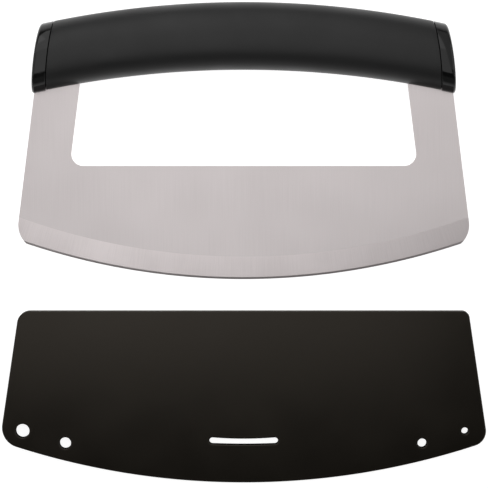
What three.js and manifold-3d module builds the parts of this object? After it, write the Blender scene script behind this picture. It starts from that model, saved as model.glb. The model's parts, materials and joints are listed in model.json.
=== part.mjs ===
import * as THREE from 'three';
import { mergeVertices } from 'three/addons/utils/BufferGeometryUtils.js';
import Module from 'manifold-3d';

// A mezzaluna with one arched handle, and its blade cover taken off and lying in front of it.
// Millimetres. Every piece is drawn in the plane of the blade: +X runs along the blade, +Y from the
// cutting edge to the handle, and Z = 0 is halfway through the steel. X = 0, Y = 0 is the lowest
// point of the cutting edge. At the end the whole set is laid down on the table, Z = 0.

const radians = THREE.MathUtils.degToRad;

// Blade
const bladeWidth = 200; // across the lower corners, before they are rounded
const bladeThickness = 1.5;
const edgeRadius = 300; // the rocking curve of the cutting edge
const cornerRadius = 11;
const cornerKink = radians(5.5); // the corner's rounding runs into the edge at this angle
const grindHeight = 10; // the band ground along the edge
const honeHeight = 0.9; // the fine edge below it
const honeThickness = 0.5; // steel left where the ground band meets the fine edge
const edgeFlat = 0.1;
const sillHeight = 49.8; // cutting edge to the bottom of the finger window
const windowRadius = 5.2;
const earWidth = 19.5;
const earInset = 1.14; // the line of the ear's outer side to the end of the handle, at mid height

// Tangs, the ends of the ears inside the handle
const tangReach = 21.57; // above the ear's shoulder
const tangStep = 4; // shoulder that takes the push of the handle
const tangRadius = 2.5;
const pinDiameter = 3;
const pinCover = 6.5; // each end of a pin to the skin of the handle
const pinSpacing = 8.5;
const pinEdge = 5; // upper pin to the top of the tang

// Handle
const handleRise = 91.9; // cutting edge to the underside of the handle, at the middle
const handleHeight = 29.7;
const handleDepth = 24;
const handleLength = 182.2; // over the crowned ends of the caps, without their bow
const handleTopRadius = 420;
const handleUnderRadius = 431;
const sectionPower = 2.4; // 2 is an ellipse, more is squarer
const endBow = 0.75; // the seams and the ends bow out by about this at mid height
const gripWall = 2.2;
const gripRound = 0.25; // rounding of the grip's and the caps' rims at the seam
const seamGap = 0.3;
const lipWall = 0.6; // the grip's lip over a cap's collar
const lapLength = 1.6; // how far the collar goes under the lip
const capWidth = 6.2;
const capCrown = 0.3;
const capEdgeRadius = 1.2;
const capDrop = 0.4; // the caps reach below the grip's underside by this
const spigotLength = 2.2; // the core's end inside a cap
const coreWall = 2.8;
const coreRib = 2.4;
const corePockets = 4;
const pocketMargin = 4; // solid core between the last pocket and a tang

// Cover
const coverHeight = 75.8;
const mouthInset = 1.1; // the mouth is narrower than the blade by this at each end
const coverLean = radians(8.5);
const coverFlatter = 27; // radius of the cover's curved edge, over the blade's
const coverThickness = 5;
const coverEdgeRound = 0.5;
const mouthRadius = { left: 5.7, right: 3.2 };
const lowerRadius = { left: 9, right: 6.8 };
const webHeight = 21.5; // solid below the blade's pocket
const pocketGap = 0.5; // round the blade, in its plane
const pocketSideGap = 0.5; // each side of the blade
const sideWall = 1.6; // the thinnest that the cover's side walls get before they stop
const ribWidth = 2.4;
const ribGap = 0.15; // each side of the blade, at the ribs that hold it
const ribSpacing = 60;
const ribMargin = 9; // below the mouth and above the pocket's floor
const flareDepth = 2.5; // the lead-in of the mouth
const flareWidth = 0.4;
const holeInset = 7.65; // from the curved bottom edge to the row of herb holes
const holeCorner = 12.83; // an outer hole to the corner that the side and the lowest level make
const holeSpacing = 18.8;
const holeDiameter = 6; // the largest hole
const holeStep = 1; // each next hole is smaller by this
const slotGap = 3.3; // the pocket's floor to the ends of the slot
const slotLength = 30.3;
const slotWidth = 2.9; // at its ends
const slotUpperRadius = 160; // its upper edge bows more, so it is narrower in the middle
const slotLowerRadius = 340;
const coverGap = 13.9; // cutting edge to the mouth of the cover, lying side by side

// Fits and facets
const fitGap = 0.3; // between pieces that touch
const cutSpare = 3; // how far a cutting solid runs past what it cuts
const arcSteps = 10;
const tangSteps = 4;
const grindSteps = 180;
const sectionSteps = 32;
const handleSteps = 13;
const roundSteps = 3;
const pinSteps = 24;
const rimSteps = 2;
const weldSize = 1e-4; // corners closer than this are one

// Worked out from the sizes above
const cornerHeight = edgeRadius - Math.sqrt(edgeRadius ** 2 - (bladeWidth / 2) ** 2);
const seam = handleLength / 2 - capWidth;
const coreInset = gripWall + fitGap;
const blankLow = cornerHeight
  - bladeWidth / 2 * Math.tan(Math.asin(bladeWidth / 2 / edgeRadius) + cornerKink);
const shoulder = arcHeight(seam, handleUnderRadius, handleRise);
const tangTop = shoulder + tangReach;
const endMiddle = (arcHeight(handleLength / 2, handleTopRadius, handleRise + handleHeight)
  + arcHeight(handleLength / 2, handleUnderRadius, handleRise)) / 2;
const earDraw = (bladeWidth - handleLength) / 2 + earInset; // the ear leans in by this on its way up
const sideLean = Math.atan(earDraw / (endMiddle - cornerHeight));
const pinLength = handleDepth - 2 * pinCover;
const coverMouth = bladeWidth - 2 * mouthInset; // before its corners are rounded
const coverBottomRadius = edgeRadius + coverFlatter;
const holeOuter = coverSideAt(0) - holeCorner;
const holeInner = holeOuter - holeSpacing;
const slotInset = webHeight - slotGap; // the curved bottom edge to the slot's ends
const coverSeat = webHeight + pocketGap; // the cover's lowest point to the blade's edge, pushed home
const pocketHalf = bladeThickness / 2 + pocketSideGap;
const coverDrop = coverGap + coverHeight;

const wasm = await Module();
wasm.setup();

// Height of a wide arc whose crest stands over X = 0
function arcHeight(x, radius, crest) {
  return crest - radius + Math.sqrt(radius ** 2 - x ** 2);
}

// How far along a direction a line leaves a circle
function reach(from, direction, centre, radius) {
  const away = from.clone().sub(centre);
  const along = away.dot(direction);
  return -along + Math.sqrt(along ** 2 - away.lengthSq() + radius ** 2);
}

// The blade's outer side, and the window's side, which runs beside it
function sideAt(y) {
  return bladeWidth / 2 - (y - cornerHeight) * Math.tan(sideLean);
}

function windowAt(y) {
  return sideAt(y) - earWidth;
}

function coverSideAt(y) {
  return coverMouth / 2 + (coverHeight - y) * Math.tan(coverLean);
}

// A closed mesh as a solid that can be joined and cut
function solid(geometry) {
  const bare = geometry.clone();
  bare.deleteAttribute('normal');
  bare.deleteAttribute('uv');
  const merged = mergeVertices(bare, weldSize);
  const corners = merged.index.array;
  const triangles = [];
  for (let i = 0; i < corners.length; i += 3) {
    const [a, b, c] = corners.slice(i, i + 3);
    if (a !== b && b !== c && c !== a) triangles.push(a, b, c);
  }
  return new wasm.Manifold(new wasm.Mesh({
    numProp: 3,
    vertProperties: merged.attributes.position.array,
    triVerts: Uint32Array.from(triangles),
  }));
}

function piece(name, body, material) {
  const { vertProperties, triVerts } = body.getMesh();
  const geometry = new THREE.BufferGeometry();
  geometry.setAttribute('position', new THREE.BufferAttribute(vertProperties, 3));
  geometry.setIndex(new THREE.BufferAttribute(triVerts, 1));
  geometry.computeVertexNormals();
  const mesh = new THREE.Mesh(geometry, material.clone());
  mesh.name = name;
  return mesh;
}

// A closed outline through corners written as [x, y, radius], the radius rounding the corner off.
// It starts on a rounded corner if it has one, so that the straight run up to that corner is drawn.
function outline(corners) {
  const first = Math.max(0, corners.findIndex(([, , radius = 0]) => radius > 0));
  const ring = [...corners.slice(first), ...corners.slice(0, first)];
  const shape = new THREE.Shape();
  const at = (i) => new THREE.Vector2(...ring[(i + ring.length) % ring.length]);
  ring.forEach(([, , radius = 0], i) => {
    const corner = at(i);
    if (radius === 0) {
      if (i === 0) shape.moveTo(corner.x, corner.y);
      else shape.lineTo(corner.x, corner.y);
      return;
    }
    const back = at(i - 1).sub(corner).normalize();
    const on = at(i + 1).sub(corner).normalize();
    const half = Math.acos(back.dot(on)) / 2;
    const middle = back.clone().add(on).setLength(radius / Math.sin(half)).add(corner);
    const start = back.multiplyScalar(radius / Math.tan(half)).add(corner).sub(middle);
    const end = on.multiplyScalar(radius / Math.tan(half)).add(corner).sub(middle);
    shape.absarc(middle.x, middle.y, radius, start.angle(), end.angle(), start.cross(end) < 0);
  });
  shape.closePath();
  return shape;
}

// A flat plate centred on the plane of the blade, its rims rounded if asked
function plate(shape, thickness, round = 0, curveSegments = arcSteps) {
  const geometry = new THREE.ExtrudeGeometry(shape, {
    depth: thickness - 2 * round,
    bevelEnabled: round > 0,
    bevelThickness: round,
    bevelSize: round,
    bevelOffset: -round,
    bevelSegments: rimSteps,
    curveSegments,
  });
  return solid(geometry.translate(0, 0, round - thickness / 2));
}

// A smooth body through a row of closed rings, closed flat at both ends
function loft(rings) {
  const count = rings[0].length;
  const middle = (ring) => ring.reduce((sum, p) => sum.add(p), new THREE.Vector3()).divideScalar(count);
  const points = [...rings.flat(), middle(rings[0]), middle(rings.at(-1))];
  const faces = [];
  for (let k = 0; k < count; k += 1) {
    const next = (k + 1) % count;
    rings.slice(1).forEach((_, i) => {
      const [a, b] = [i * count + k, i * count + next];
      faces.push(a, a + count, b, b, a + count, b + count);
    });
    const last = (rings.length - 1) * count;
    faces.push(points.length - 2, k, next, points.length - 1, last + next, last + k);
  }
  const geometry = new THREE.BufferGeometry().setFromPoints(points);
  geometry.setIndex(faces);
  return solid(geometry);
}

// How far a point of the handle moves along it, so that the seams and the ends bow out
function bowAt({ x, y }) {
  const top = arcHeight(x, handleTopRadius, handleRise + handleHeight);
  const under = arcHeight(x, handleUnderRadius, handleRise);
  const level = (2 * y - top - under) / (top - under); // -1 at the underside, 1 at the top
  return endBow * (1 - level ** 2) * x / (handleLength / 2);
}

// A ring of the handle's section. It leans with the blade's sides towards the ends, and spans the
// top and underside arcs less the inset. share draws it in towards its own middle, and drop lowers
// its underside.
function handleRing(station, inset, share = 1, drop = 0) {
  const lean = sideLean * station / (handleLength / 2);
  const up = new THREE.Vector2(-Math.sin(lean), Math.cos(lean));
  const foot = new THREE.Vector2(station, endMiddle);
  const topCentre = new THREE.Vector2(0, handleRise + handleHeight - handleTopRadius);
  const underCentre = new THREE.Vector2(0, handleRise - handleUnderRadius);
  const top = reach(foot, up, topCentre, handleTopRadius);
  const under = reach(foot, up, underCentre, handleUnderRadius) - drop;
  const halfHeight = ((top - under) / 2 - inset) * share;
  const halfDepth = (handleDepth / 2 - inset) * share;
  const oval = (wave) => Math.sign(wave) * Math.abs(wave) ** (2 / sectionPower);
  return Array.from({ length: sectionSteps }, (_, k) => {
    const turn = 2 * Math.PI * k / sectionSteps;
    const along = (top + under) / 2 + halfHeight * oval(Math.sin(turn));
    const spot = up.clone().multiplyScalar(along).add(foot);
    return new THREE.Vector3(spot.x + bowAt(spot), spot.y, halfDepth * oval(Math.cos(turn)));
  });
}

// The handle's bar between two stations, drawn in all round by the inset
function handleBar(from, to, inset) {
  const steps = Math.max(1, Math.round(handleSteps * (to - from) / handleLength));
  return loft(Array.from({ length: steps + 1 }, (_, i) => (
    handleRing(from + (to - from) * i / steps, inset)
  )));
}

// Everything on one side of the plane halfway through the steel, less half a fit
function halfSpace(side) {
  const size = 2 * (bladeWidth + coverHeight + handleRise);
  const box = new THREE.BoxGeometry(size, size, size);
  return solid(box.translate(0, 0, side * (size + fitGap) / 2));
}

// The right ear from its shoulder to the top of its tang, grown all round
function earCorners(grow) {
  const round = tangRadius + grow;
  return [
    [sideAt(shoulder) + grow, shoulder + grow],
    [sideAt(shoulder) - tangStep + grow, shoulder + grow],
    [sideAt(tangTop) - tangStep + grow, tangTop + grow, round],
    [windowAt(tangTop) - grow, tangTop + grow, round],
  ];
}

// The same corners on the left side, in the order that keeps the outline running the same way
function mirrored(corners) {
  return corners.map(([x, ...rest]) => [-x, ...rest]).reverse();
}

// The room that both ears take up in the handle
function earPockets() {
  const foot = sillHeight + windowRadius;
  const right = [
    [windowAt(foot) - fitGap, foot],
    [sideAt(foot) + fitGap, foot],
    ...earCorners(fitGap),
  ];
  const thickness = bladeThickness + 2 * fitGap;
  const pocket = (corners) => plate(outline(corners), thickness, 0, tangSteps);
  return pocket(right).add(pocket(mirrored(right)));
}

// Ring that grinds both bevels and the curved edge, turned about the centre of the edge's curve
function grinder() {
  const slope = (bladeThickness - honeThickness) / 2 / (grindHeight - honeHeight);
  const clear = bladeThickness;
  const start = edgeRadius - grindHeight - (clear - bladeThickness / 2) / slope;
  const rim = edgeRadius - blankLow + cutSpare;
  const profile = [
    [rim, -clear],
    [rim, clear],
    [start, clear],
    [edgeRadius - honeHeight, honeThickness / 2],
    [edgeRadius, edgeFlat / 2],
    [edgeRadius, -edgeFlat / 2],
    [edgeRadius - honeHeight, -honeThickness / 2],
    [start, -clear],
    [rim, -clear],
  ].map(([r, z]) => new THREE.Vector2(r, z));
  const ring = new THREE.LatheGeometry(profile, grindSteps);
  return solid(ring.rotateX(Math.PI / 2).translate(0, edgeRadius, 0));
}

// One stamping with both ears. Below the edge it runs to a point, which the grinder takes off.
function makeBlade() {
  const right = [
    [bladeWidth / 2, cornerHeight, cornerRadius],
    ...earCorners(0),
    [windowAt(sillHeight), sillHeight, windowRadius],
  ];
  const blank = outline([[0, blankLow], ...right, ...mirrored(right)]);
  let blade = plate(blank, bladeThickness).subtract(grinder());
  pinPlaces().forEach((place) => {
    blade = blade.subtract(pinBody(place, fitGap));
  });
  return blade;
}

// Two pins up the middle of each tang
function pinPlaces() {
  return ['left', 'right'].flatMap((hand) => ['lower', 'upper'].map((level) => {
    const y = tangTop - pinEdge - (level === 'lower' ? pinSpacing : 0);
    const x = (sideAt(y) - tangStep + windowAt(y)) / 2;
    return { name: `tang_pin_${hand}_${level}`, x: hand === 'left' ? -x : x, y };
  }));
}

function pinBody({ x, y }, grow) {
  const radius = pinDiameter / 2 + grow;
  const rod = new THREE.CylinderGeometry(radius, radius, pinLength + 2 * grow, pinSteps);
  return solid(rod.rotateX(Math.PI / 2).translate(x, y, 0));
}

// The hard bar under the grip and into both caps, ribbed between the tangs
function makeCore() {
  const end = seam + spigotLength;
  let core = handleBar(-end, end, coreInset).subtract(earPockets());
  const hollow = windowAt(tangTop) - pocketMargin;
  const pitch = 2 * hollow / corePockets;
  for (let i = 0; i < corePockets; i += 1) {
    const from = -hollow + i * pitch + coreRib / 2;
    core = core.subtract(handleBar(from, from + pitch - coreRib, coreInset + coreWall));
  }
  pinPlaces().forEach((place) => {
    core = core.subtract(pinBody(place, fitGap));
  });
  return core;
}

function makeGrip() {
  const end = seam - seamGap / 2;
  const flat = end - gripRound;
  const body = Array.from({ length: handleSteps + 1 }, (_, i) => (
    handleRing(flat * (2 * i / handleSteps - 1), 0)
  ));
  const sleeve = loft([handleRing(-end, gripRound), ...body, handleRing(end, gripRound)]);
  const bore = handleBar(-seam, seam, gripWall)
    .add(handleBar(seam - lapLength, seam, lipWall))
    .add(handleBar(-seam, lapLength - seam, lipWall));
  return sleeve.subtract(bore).subtract(earPockets());
}

// The crowned cap of the right end, or of the left end where side is -1. Its collar goes under the
// lip of the grip.
function makeCap(side) {
  const start = seam + seamGap / 2;
  const bend = handleLength / 2 - capCrown - capEdgeRadius;
  const ring = (station, inset, share) => handleRing(side * station, inset, share, capDrop);
  const rings = [ring(start, gripRound), ring(start + gripRound, 0)];
  for (let i = 0; i <= roundSteps; i += 1) {
    const turn = Math.PI / 2 * i / roundSteps;
    rings.push(ring(bend + capEdgeRadius * Math.sin(turn), capEdgeRadius * (1 - Math.cos(turn))));
  }
  for (let i = roundSteps; i > 0; i -= 1) {
    const share = i / (roundSteps + 1);
    rings.push(ring(handleLength / 2 - capCrown * share ** 2, capEdgeRadius, share));
  }
  if (side < 0) rings.reverse();
  const bar = (from, to, inset) => (
    side < 0 ? handleBar(-to, -from, inset) : handleBar(from, to, inset)
  );
  const collarEnd = seam - lapLength + fitGap;
  const collar = bar(collarEnd, start + gripRound, lipWall + fitGap);
  const socket = bar(collarEnd - cutSpare, seam + spigotLength + fitGap, gripWall);
  return loft(rings).add(collar).subtract(socket).subtract(earPockets());
}

// The bowed slot: two arcs of unlike radius that run into round ends
function slotOutline() {
  const half = Math.PI / 2;
  const end = slotWidth / 2;
  const row = coverBottomRadius - slotInset;
  const x = slotLength / 2 - end;
  const y = coverBottomRadius - Math.sqrt(row ** 2 - x ** 2);
  const lowerBow = Math.asin(x / (slotLowerRadius - end));
  const upperBow = Math.asin(x / (slotUpperRadius + end));
  const lowerCentre = y + (slotLowerRadius - end) * Math.cos(lowerBow);
  const upperCentre = y + (slotUpperRadius + end) * Math.cos(upperBow);
  const slot = new THREE.Path();
  slot.absarc(0, lowerCentre, slotLowerRadius, -half - lowerBow, -half + lowerBow, false);
  slot.absarc(x, y, end, -half + lowerBow, half + upperBow, false);
  slot.absarc(0, upperCentre, slotUpperRadius, -half + upperBow, -half - upperBow, true);
  slot.absarc(-x, y, end, half - upperBow, 3 * half - lowerBow, false);
  slot.closePath();
  return slot;
}

// The cover's outline, its lowest point at Y = 0, with the graded herb holes and the bowed slot
function coverOutline() {
  const centre = new THREE.Vector2(0, coverBottomRadius);
  const down = new THREE.Vector2(Math.sin(coverLean), -Math.cos(coverLean));
  const inner = (y, radius) => coverSideAt(y) - radius / Math.cos(coverLean);
  const lower = (radius) => {
    const from = new THREE.Vector2(inner(0, radius), 0);
    return from.addScaledVector(down, reach(from, down, centre, coverBottomRadius - radius));
  };
  const sweep = (spot) => Math.atan2(spot.x, coverBottomRadius - spot.y);
  const [right, left] = [lower(lowerRadius.right), lower(lowerRadius.left)];
  const [upRight, upLeft] = [coverHeight - mouthRadius.right, coverHeight - mouthRadius.left];
  const half = Math.PI / 2;
  const shape = new THREE.Shape();
  shape.absarc(0, coverBottomRadius, coverBottomRadius, -half - sweep(left), -half + sweep(right), false);
  shape.absarc(right.x, right.y, lowerRadius.right, -half + sweep(right), coverLean, false);
  shape.absarc(inner(upRight, mouthRadius.right), upRight, mouthRadius.right, coverLean, half, false);
  shape.absarc(-inner(upLeft, mouthRadius.left), upLeft, mouthRadius.left, half, Math.PI - coverLean, false);
  shape.absarc(-left.x, left.y, lowerRadius.left, Math.PI - coverLean, 3 * half - sweep(left), false);
  shape.closePath();

  const rowRadius = coverBottomRadius - holeInset;
  [-holeOuter, -holeInner, holeInner, holeOuter].forEach((x, i) => {
    const y = coverBottomRadius - Math.sqrt(rowRadius ** 2 - x ** 2);
    const hole = new THREE.Path();
    hole.absarc(x, y, (holeDiameter - i * holeStep) / 2, 0, 2 * Math.PI, false);
    shape.holes.push(hole);
  });

  shape.holes.push(slotOutline());
  return shape;
}

// The room for the blade inside the cover. Its sides run straight up, because the blade's wide
// corners pass through, and above the side walls the cover is open at both sides as well.
function bladePocket() {
  const half = bladeWidth / 2 + pocketGap;
  const radius = edgeRadius + pocketGap;
  const sweep = Math.asin(half / radius);
  const wallTop = coverHeight - (half + sideWall - coverMouth / 2) / Math.tan(coverLean);
  const open = coverSideAt(wallTop) + cutSpare;
  const top = coverHeight + cutSpare;
  const right = [[half, wallTop], [open, wallTop], [open, top]];
  const shape = new THREE.Shape();
  shape.absarc(0, coverSeat + edgeRadius, radius, -Math.PI / 2 - sweep, -Math.PI / 2 + sweep, false);
  [...right, ...mirrored(right)].forEach(([x, y]) => shape.lineTo(x, y));
  shape.closePath();
  return plate(shape, 2 * pocketHalf);
}

// The tapered lead-in along the mouth
function mouthFlare() {
  const top = coverHeight + cutSpare;
  const wide = pocketHalf + flareWidth * (1 + cutSpare / flareDepth);
  const wedge = outline([
    [coverHeight - flareDepth, -pocketHalf],
    [top, -wide],
    [top, wide],
    [coverHeight - flareDepth, pocketHalf],
  ]);
  const length = coverMouth + 2 * cutSpare;
  const geometry = new THREE.ExtrudeGeometry(wedge, { depth: length, bevelEnabled: false });
  const turn = new THREE.Matrix4().makeBasis(
    new THREE.Vector3(0, 1, 0),
    new THREE.Vector3(0, 0, 1),
    new THREE.Vector3(1, 0, 0),
  );
  return solid(geometry.applyMatrix4(turn).translate(-length / 2, 0, 0));
}

// One half of the cover, with the low ribs that hold the blade
function makeCoverHalf(side) {
  const blank = plate(coverOutline(), coverThickness, coverEdgeRound);
  let half = blank.subtract(bladePocket()).subtract(mouthFlare()).intersect(halfSpace(side));
  const low = bladeThickness / 2 + ribGap;
  const high = (pocketHalf + coverThickness / 2) / 2;
  const foot = coverSeat + grindHeight + ribMargin;
  const length = coverHeight - ribMargin - foot;
  [-1, 0, 1].forEach((place) => {
    const rib = new THREE.BoxGeometry(ribWidth, length, high - low);
    rib.translate(place * ribSpacing, foot + length / 2, side * (low + high) / 2);
    half = half.add(solid(rib));
  });
  return half;
}

const finish = (color, roughness, metalness) => (
  new THREE.MeshStandardMaterial({ color, roughness, metalness })
);
const satinSteel = finish(0xc4bfbe, 0.35, 1);
const pinSteel = finish(0xb9babb, 0.3, 1);
const softRubber = finish(0x2f2e2e, 0.8, 0);
const glossPlastic = finish(0x0e0e10, 0.15, 0);
const corePlastic = finish(0x26262a, 0.55, 0);
const coverPlastic = finish(0x1f1e1b, 0.45, 0);

const knife = new THREE.Group();
knife.add(piece('blade', makeBlade(), satinSteel));
const core = makeCore();
knife.add(piece('handle_core_front', core.intersect(halfSpace(1)), corePlastic));
knife.add(piece('handle_core_back', core.intersect(halfSpace(-1)), corePlastic));
knife.add(piece('soft_grip', makeGrip(), softRubber));
knife.add(piece('end_cap_left', makeCap(-1), glossPlastic));
knife.add(piece('end_cap_right', makeCap(1), glossPlastic));
pinPlaces().forEach((place) => knife.add(piece(place.name, pinBody(place, 0), pinSteel)));

const cover = new THREE.Group();
cover.add(piece('cover_front', makeCoverHalf(1), coverPlastic));
cover.add(piece('cover_back', makeCoverHalf(-1), coverPlastic));
cover.position.y = -coverDrop;

// Laid down: the ends of the handle and the cover's curved edge touch the table
const mezzaluna = new THREE.Group();
mezzaluna.add(knife, cover);
mezzaluna.rotation.x = Math.asin((handleDepth - coverThickness) / 2 / (endMiddle + coverDrop));
const box = new THREE.Box3().setFromObject(mezzaluna, true);
const middle = box.getCenter(new THREE.Vector3());
mezzaluna.position.set(-middle.x, -middle.y, -box.min.z);

export default mezzaluna;
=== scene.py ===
import json
import math
import bmesh
import bpy
from mathutils import Matrix, Vector


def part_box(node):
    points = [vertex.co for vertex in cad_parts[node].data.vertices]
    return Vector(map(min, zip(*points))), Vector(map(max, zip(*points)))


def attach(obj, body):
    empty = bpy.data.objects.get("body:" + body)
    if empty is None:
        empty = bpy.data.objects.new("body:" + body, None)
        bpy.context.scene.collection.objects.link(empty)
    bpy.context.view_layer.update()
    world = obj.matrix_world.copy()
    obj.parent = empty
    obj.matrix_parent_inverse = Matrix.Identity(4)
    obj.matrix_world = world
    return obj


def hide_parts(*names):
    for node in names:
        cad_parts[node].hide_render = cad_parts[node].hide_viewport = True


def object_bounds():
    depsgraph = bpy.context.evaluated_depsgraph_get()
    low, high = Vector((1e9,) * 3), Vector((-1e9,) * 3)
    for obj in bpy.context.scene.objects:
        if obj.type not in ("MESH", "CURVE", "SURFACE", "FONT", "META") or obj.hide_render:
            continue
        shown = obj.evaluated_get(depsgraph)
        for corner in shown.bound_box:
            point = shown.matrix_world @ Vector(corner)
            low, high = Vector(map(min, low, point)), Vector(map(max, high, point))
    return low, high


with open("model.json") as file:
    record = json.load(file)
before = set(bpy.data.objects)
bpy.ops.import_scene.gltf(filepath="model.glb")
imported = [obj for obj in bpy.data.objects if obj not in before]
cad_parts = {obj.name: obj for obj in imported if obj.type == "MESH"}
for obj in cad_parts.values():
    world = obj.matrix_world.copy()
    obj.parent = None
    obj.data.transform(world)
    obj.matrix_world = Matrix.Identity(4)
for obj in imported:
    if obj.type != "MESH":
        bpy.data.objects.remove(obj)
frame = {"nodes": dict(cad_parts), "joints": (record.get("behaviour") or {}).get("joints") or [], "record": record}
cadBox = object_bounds()
scene = bpy.context.scene

# Every new piece is drawn in the blade's plane, in millimetres: X along the blade, Y from the lowest point
# of the cutting edge up to the handle, Z = 0 halfway through the steel. The frame lays that plane on the
# table.
plane = {
    "mountSpot": (0, 26, 0.75),      # where the mount on the blade's side lies in that plane
    "unit": 0.001,                   # m
}
bladeMount = next(mount for mount in frame["record"]["mounts"] if mount["name"] == "blade_side")
slideAxis = frame["joints"][0]["axis"]
leaned = Matrix.Rotation(math.atan2(slideAxis[2], slideAxis[1]), 4, "X")
bladeLow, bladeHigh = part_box("blade")
planeOrigin = Vector(bladeMount["pos_m"]) - leaned @ Vector(plane["mountSpot"]) * plane["unit"]
planeOrigin.x = (bladeLow.x + bladeHigh.x) / 2
laidKnife = Matrix.Translation(planeOrigin) @ leaned @ Matrix.Scale(plane["unit"], 4)


# Drawing with a pen: lines and arcs of single vertices, then faces and walls

drawing = {
    "sag": 0.004,            # mm, how far a chord may lie inside its arc
    "weld": 0.001,           # mm, vertices closer than this are one
    "sideNormal": 0.5,       # a face lies on a side if its normal has more than this along Z
    "wallNormal": 0.3,       # and it is a wall if its normal has less than this
}


def partsOf(made, kind):
    return [part for part in made if isinstance(part, kind)]


def lineTo(bm, pen, place):
    made = bmesh.ops.extrude_vert_indiv(bm, verts=[pen])["verts"]
    bmesh.ops.translate(bm, vec=place - pen.co, verts=made)
    return made[0]


def arcTo(bm, pen, centre, radius, angle):
    steps = math.ceil(abs(angle) / (2 * math.acos(1 - drawing["sag"] / radius)))
    turned = bmesh.ops.spin(bm, geom=[pen], cent=centre, axis=(0, 0, 1), angle=angle, steps=steps)
    return partsOf(turned["geom_last"], bmesh.types.BMVert)[0]


# A loop is a list of arcs (centre, radius, first angle, last angle) joined by lines. A sharp corner is an
# arc without a radius.
def drawLoop(bm, arcs, level):
    first = pen = None
    for centre, radius, begin, end in arcs:
        middle = Vector((centre[0], centre[1], level))
        place = middle + Vector((math.cos(begin), math.sin(begin), 0)) * radius
        pen = lineTo(bm, pen, place) if pen else bm.verts.new(place)
        first = first or pen
        if radius:
            pen = arcTo(bm, pen, middle, radius, end - begin)
    bm.edges.new((pen, first))


# Corners are (x, y) or (x, y, radius), and a radius rounds the corner.
def cornerArcs(corners):
    arcs = []
    for index, corner in enumerate(corners):
        spot = Vector(corner[:2])
        if len(corner) == 2:
            arcs.append((spot, 0, 0, 0))
            continue
        arrive = (spot - Vector(corners[index - 1][:2])).normalized()
        leave = (Vector(corners[(index + 1) % len(corners)][:2]) - spot).normalized()
        turn = math.atan2(arrive.cross(leave), arrive.dot(leave))
        radius = corner[2]
        begin = spot - arrive * radius * math.tan(abs(turn) / 2)
        centre = begin + Vector((-arrive.y, arrive.x)) * math.copysign(radius, turn)
        angle = math.atan2(begin.y - centre.y, begin.x - centre.x)
        arcs.append((centre, radius, angle, angle + turn))
    return arcs


def mirrored(corners):
    return [(-corner[0], *corner[1:]) for corner in reversed(corners)]


def fillFlat(bm, edges):
    made = bmesh.ops.triangle_fill(bm, use_beauty=True, use_dissolve=False, edges=edges)["geom"]
    return partsOf(made, bmesh.types.BMFace)


def walkLoops(edges):
    unused = set(edges)
    loops = []
    while unused:
        loop = list(unused.pop().verts)
        while loop[-1] is not loop[0]:
            step = next(edge for edge in loop[-1].link_edges if edge in unused)
            unused.remove(step)
            loop.append(step.other_vert(loop[-1]))
        loops.append(loop[:-1])
    return loops


def signedArea(loop):
    return sum(a.co.x * b.co.y - b.co.x * a.co.y for a, b in zip(loop, loop[1:] + loop[:1])) / 2


# Raises walls from flat loops. A level is (height, inset), and the inset goes into the material: in from
# the outline and out from the holes. Returns the top edges.
def raiseWalls(bm, edges, levels):
    loops = walkLoops(edges)
    areas = [signedArea(loop) for loop in loops]
    outline = max(areas, key=abs)
    homes = {}
    for loop, area in zip(loops, areas):
        side = math.copysign(1, area) * (1 if area == outline else -1)
        for index, vert in enumerate(loop):
            before = (vert.co - loop[index - 1].co).to_2d().normalized()
            after = (loop[(index + 1) % len(loop)].co - vert.co).to_2d().normalized()
            along = (before + after) / (1 + before.dot(after))
            homes[vert] = (vert.co.to_2d(), Vector((-along.y, along.x)) * side)
    for height, inset in levels:
        made = bmesh.ops.extrude_edge_only(bm, edges=edges)["geom"]
        fresh = set(partsOf(made, bmesh.types.BMVert))
        for face in partsOf(made, bmesh.types.BMFace):
            face.smooth = True
        edges = [edge for edge in partsOf(made, bmesh.types.BMEdge) if fresh.issuperset(edge.verts)]
        for vert in fresh:
            home, inward = homes[next(v for edge in vert.link_edges for v in edge.verts if v not in fresh)]
            homes[vert] = (home, inward)
            vert.co = (*(home + inward * inset), height)
    return edges


def roundedRim(height, radius, steps):
    turns = [math.pi / 2 * step / steps for step in range(steps + 1)]
    return [(height - radius + radius * math.sin(turn), radius * (1 - math.cos(turn))) for turn in turns]


def makeObject(name, bm):
    bmesh.ops.remove_doubles(bm, verts=bm.verts, dist=drawing["weld"])
    bmesh.ops.recalc_face_normals(bm, faces=bm.faces)
    mesh = bpy.data.meshes.new(name)
    bm.to_mesh(mesh)
    bm.free()
    piece = bpy.data.objects.new(name, mesh)
    scene.collection.objects.link(piece)
    return piece


# Cuts one object away from another with a Boolean and keeps the result as the mesh.
def cutAway(piece, cutter):
    cut = piece.modifiers.new("cut", "BOOLEAN")
    cut.operation = "DIFFERENCE"
    cut.solver = "EXACT"
    cut.object = cutter
    cutMesh = bpy.data.meshes.new_from_object(piece.evaluated_get(bpy.context.evaluated_depsgraph_get()))
    piece.modifiers.remove(cut)
    piece.data = cutMesh
    bpy.data.objects.remove(cutter)


# Lays a drawn piece on the table in place of its CAD node.
def standIn(piece, place, node, body, slot, *finishes):
    piece.data.transform(place)
    for material in finishes:
        piece.data.materials.append(material)
    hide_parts(node)
    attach(piece, body)


# Materials

def toLinear(hexColour):
    shares = [int(hexColour[i:i + 2], 16) / 255 for i in (1, 3, 5)]
    return [s / 12.92 if s <= 0.04045 else ((s + 0.055) / 1.055) ** 2.4 for s in shares] + [1]


# Adds a node: settings are its own properties, and an input is a value or another node's output.
def addNode(tree, kind, settings, inputs):
    node = tree.nodes.new("ShaderNode" + kind)
    for name, value in settings.items():
        setattr(node, name, value)
    for name, value in inputs.items():
        if isinstance(value, bpy.types.NodeSocket):
            tree.links.new(value, node.inputs[name])
        else:
            node.inputs[name].default_value = value
    return node


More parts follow.
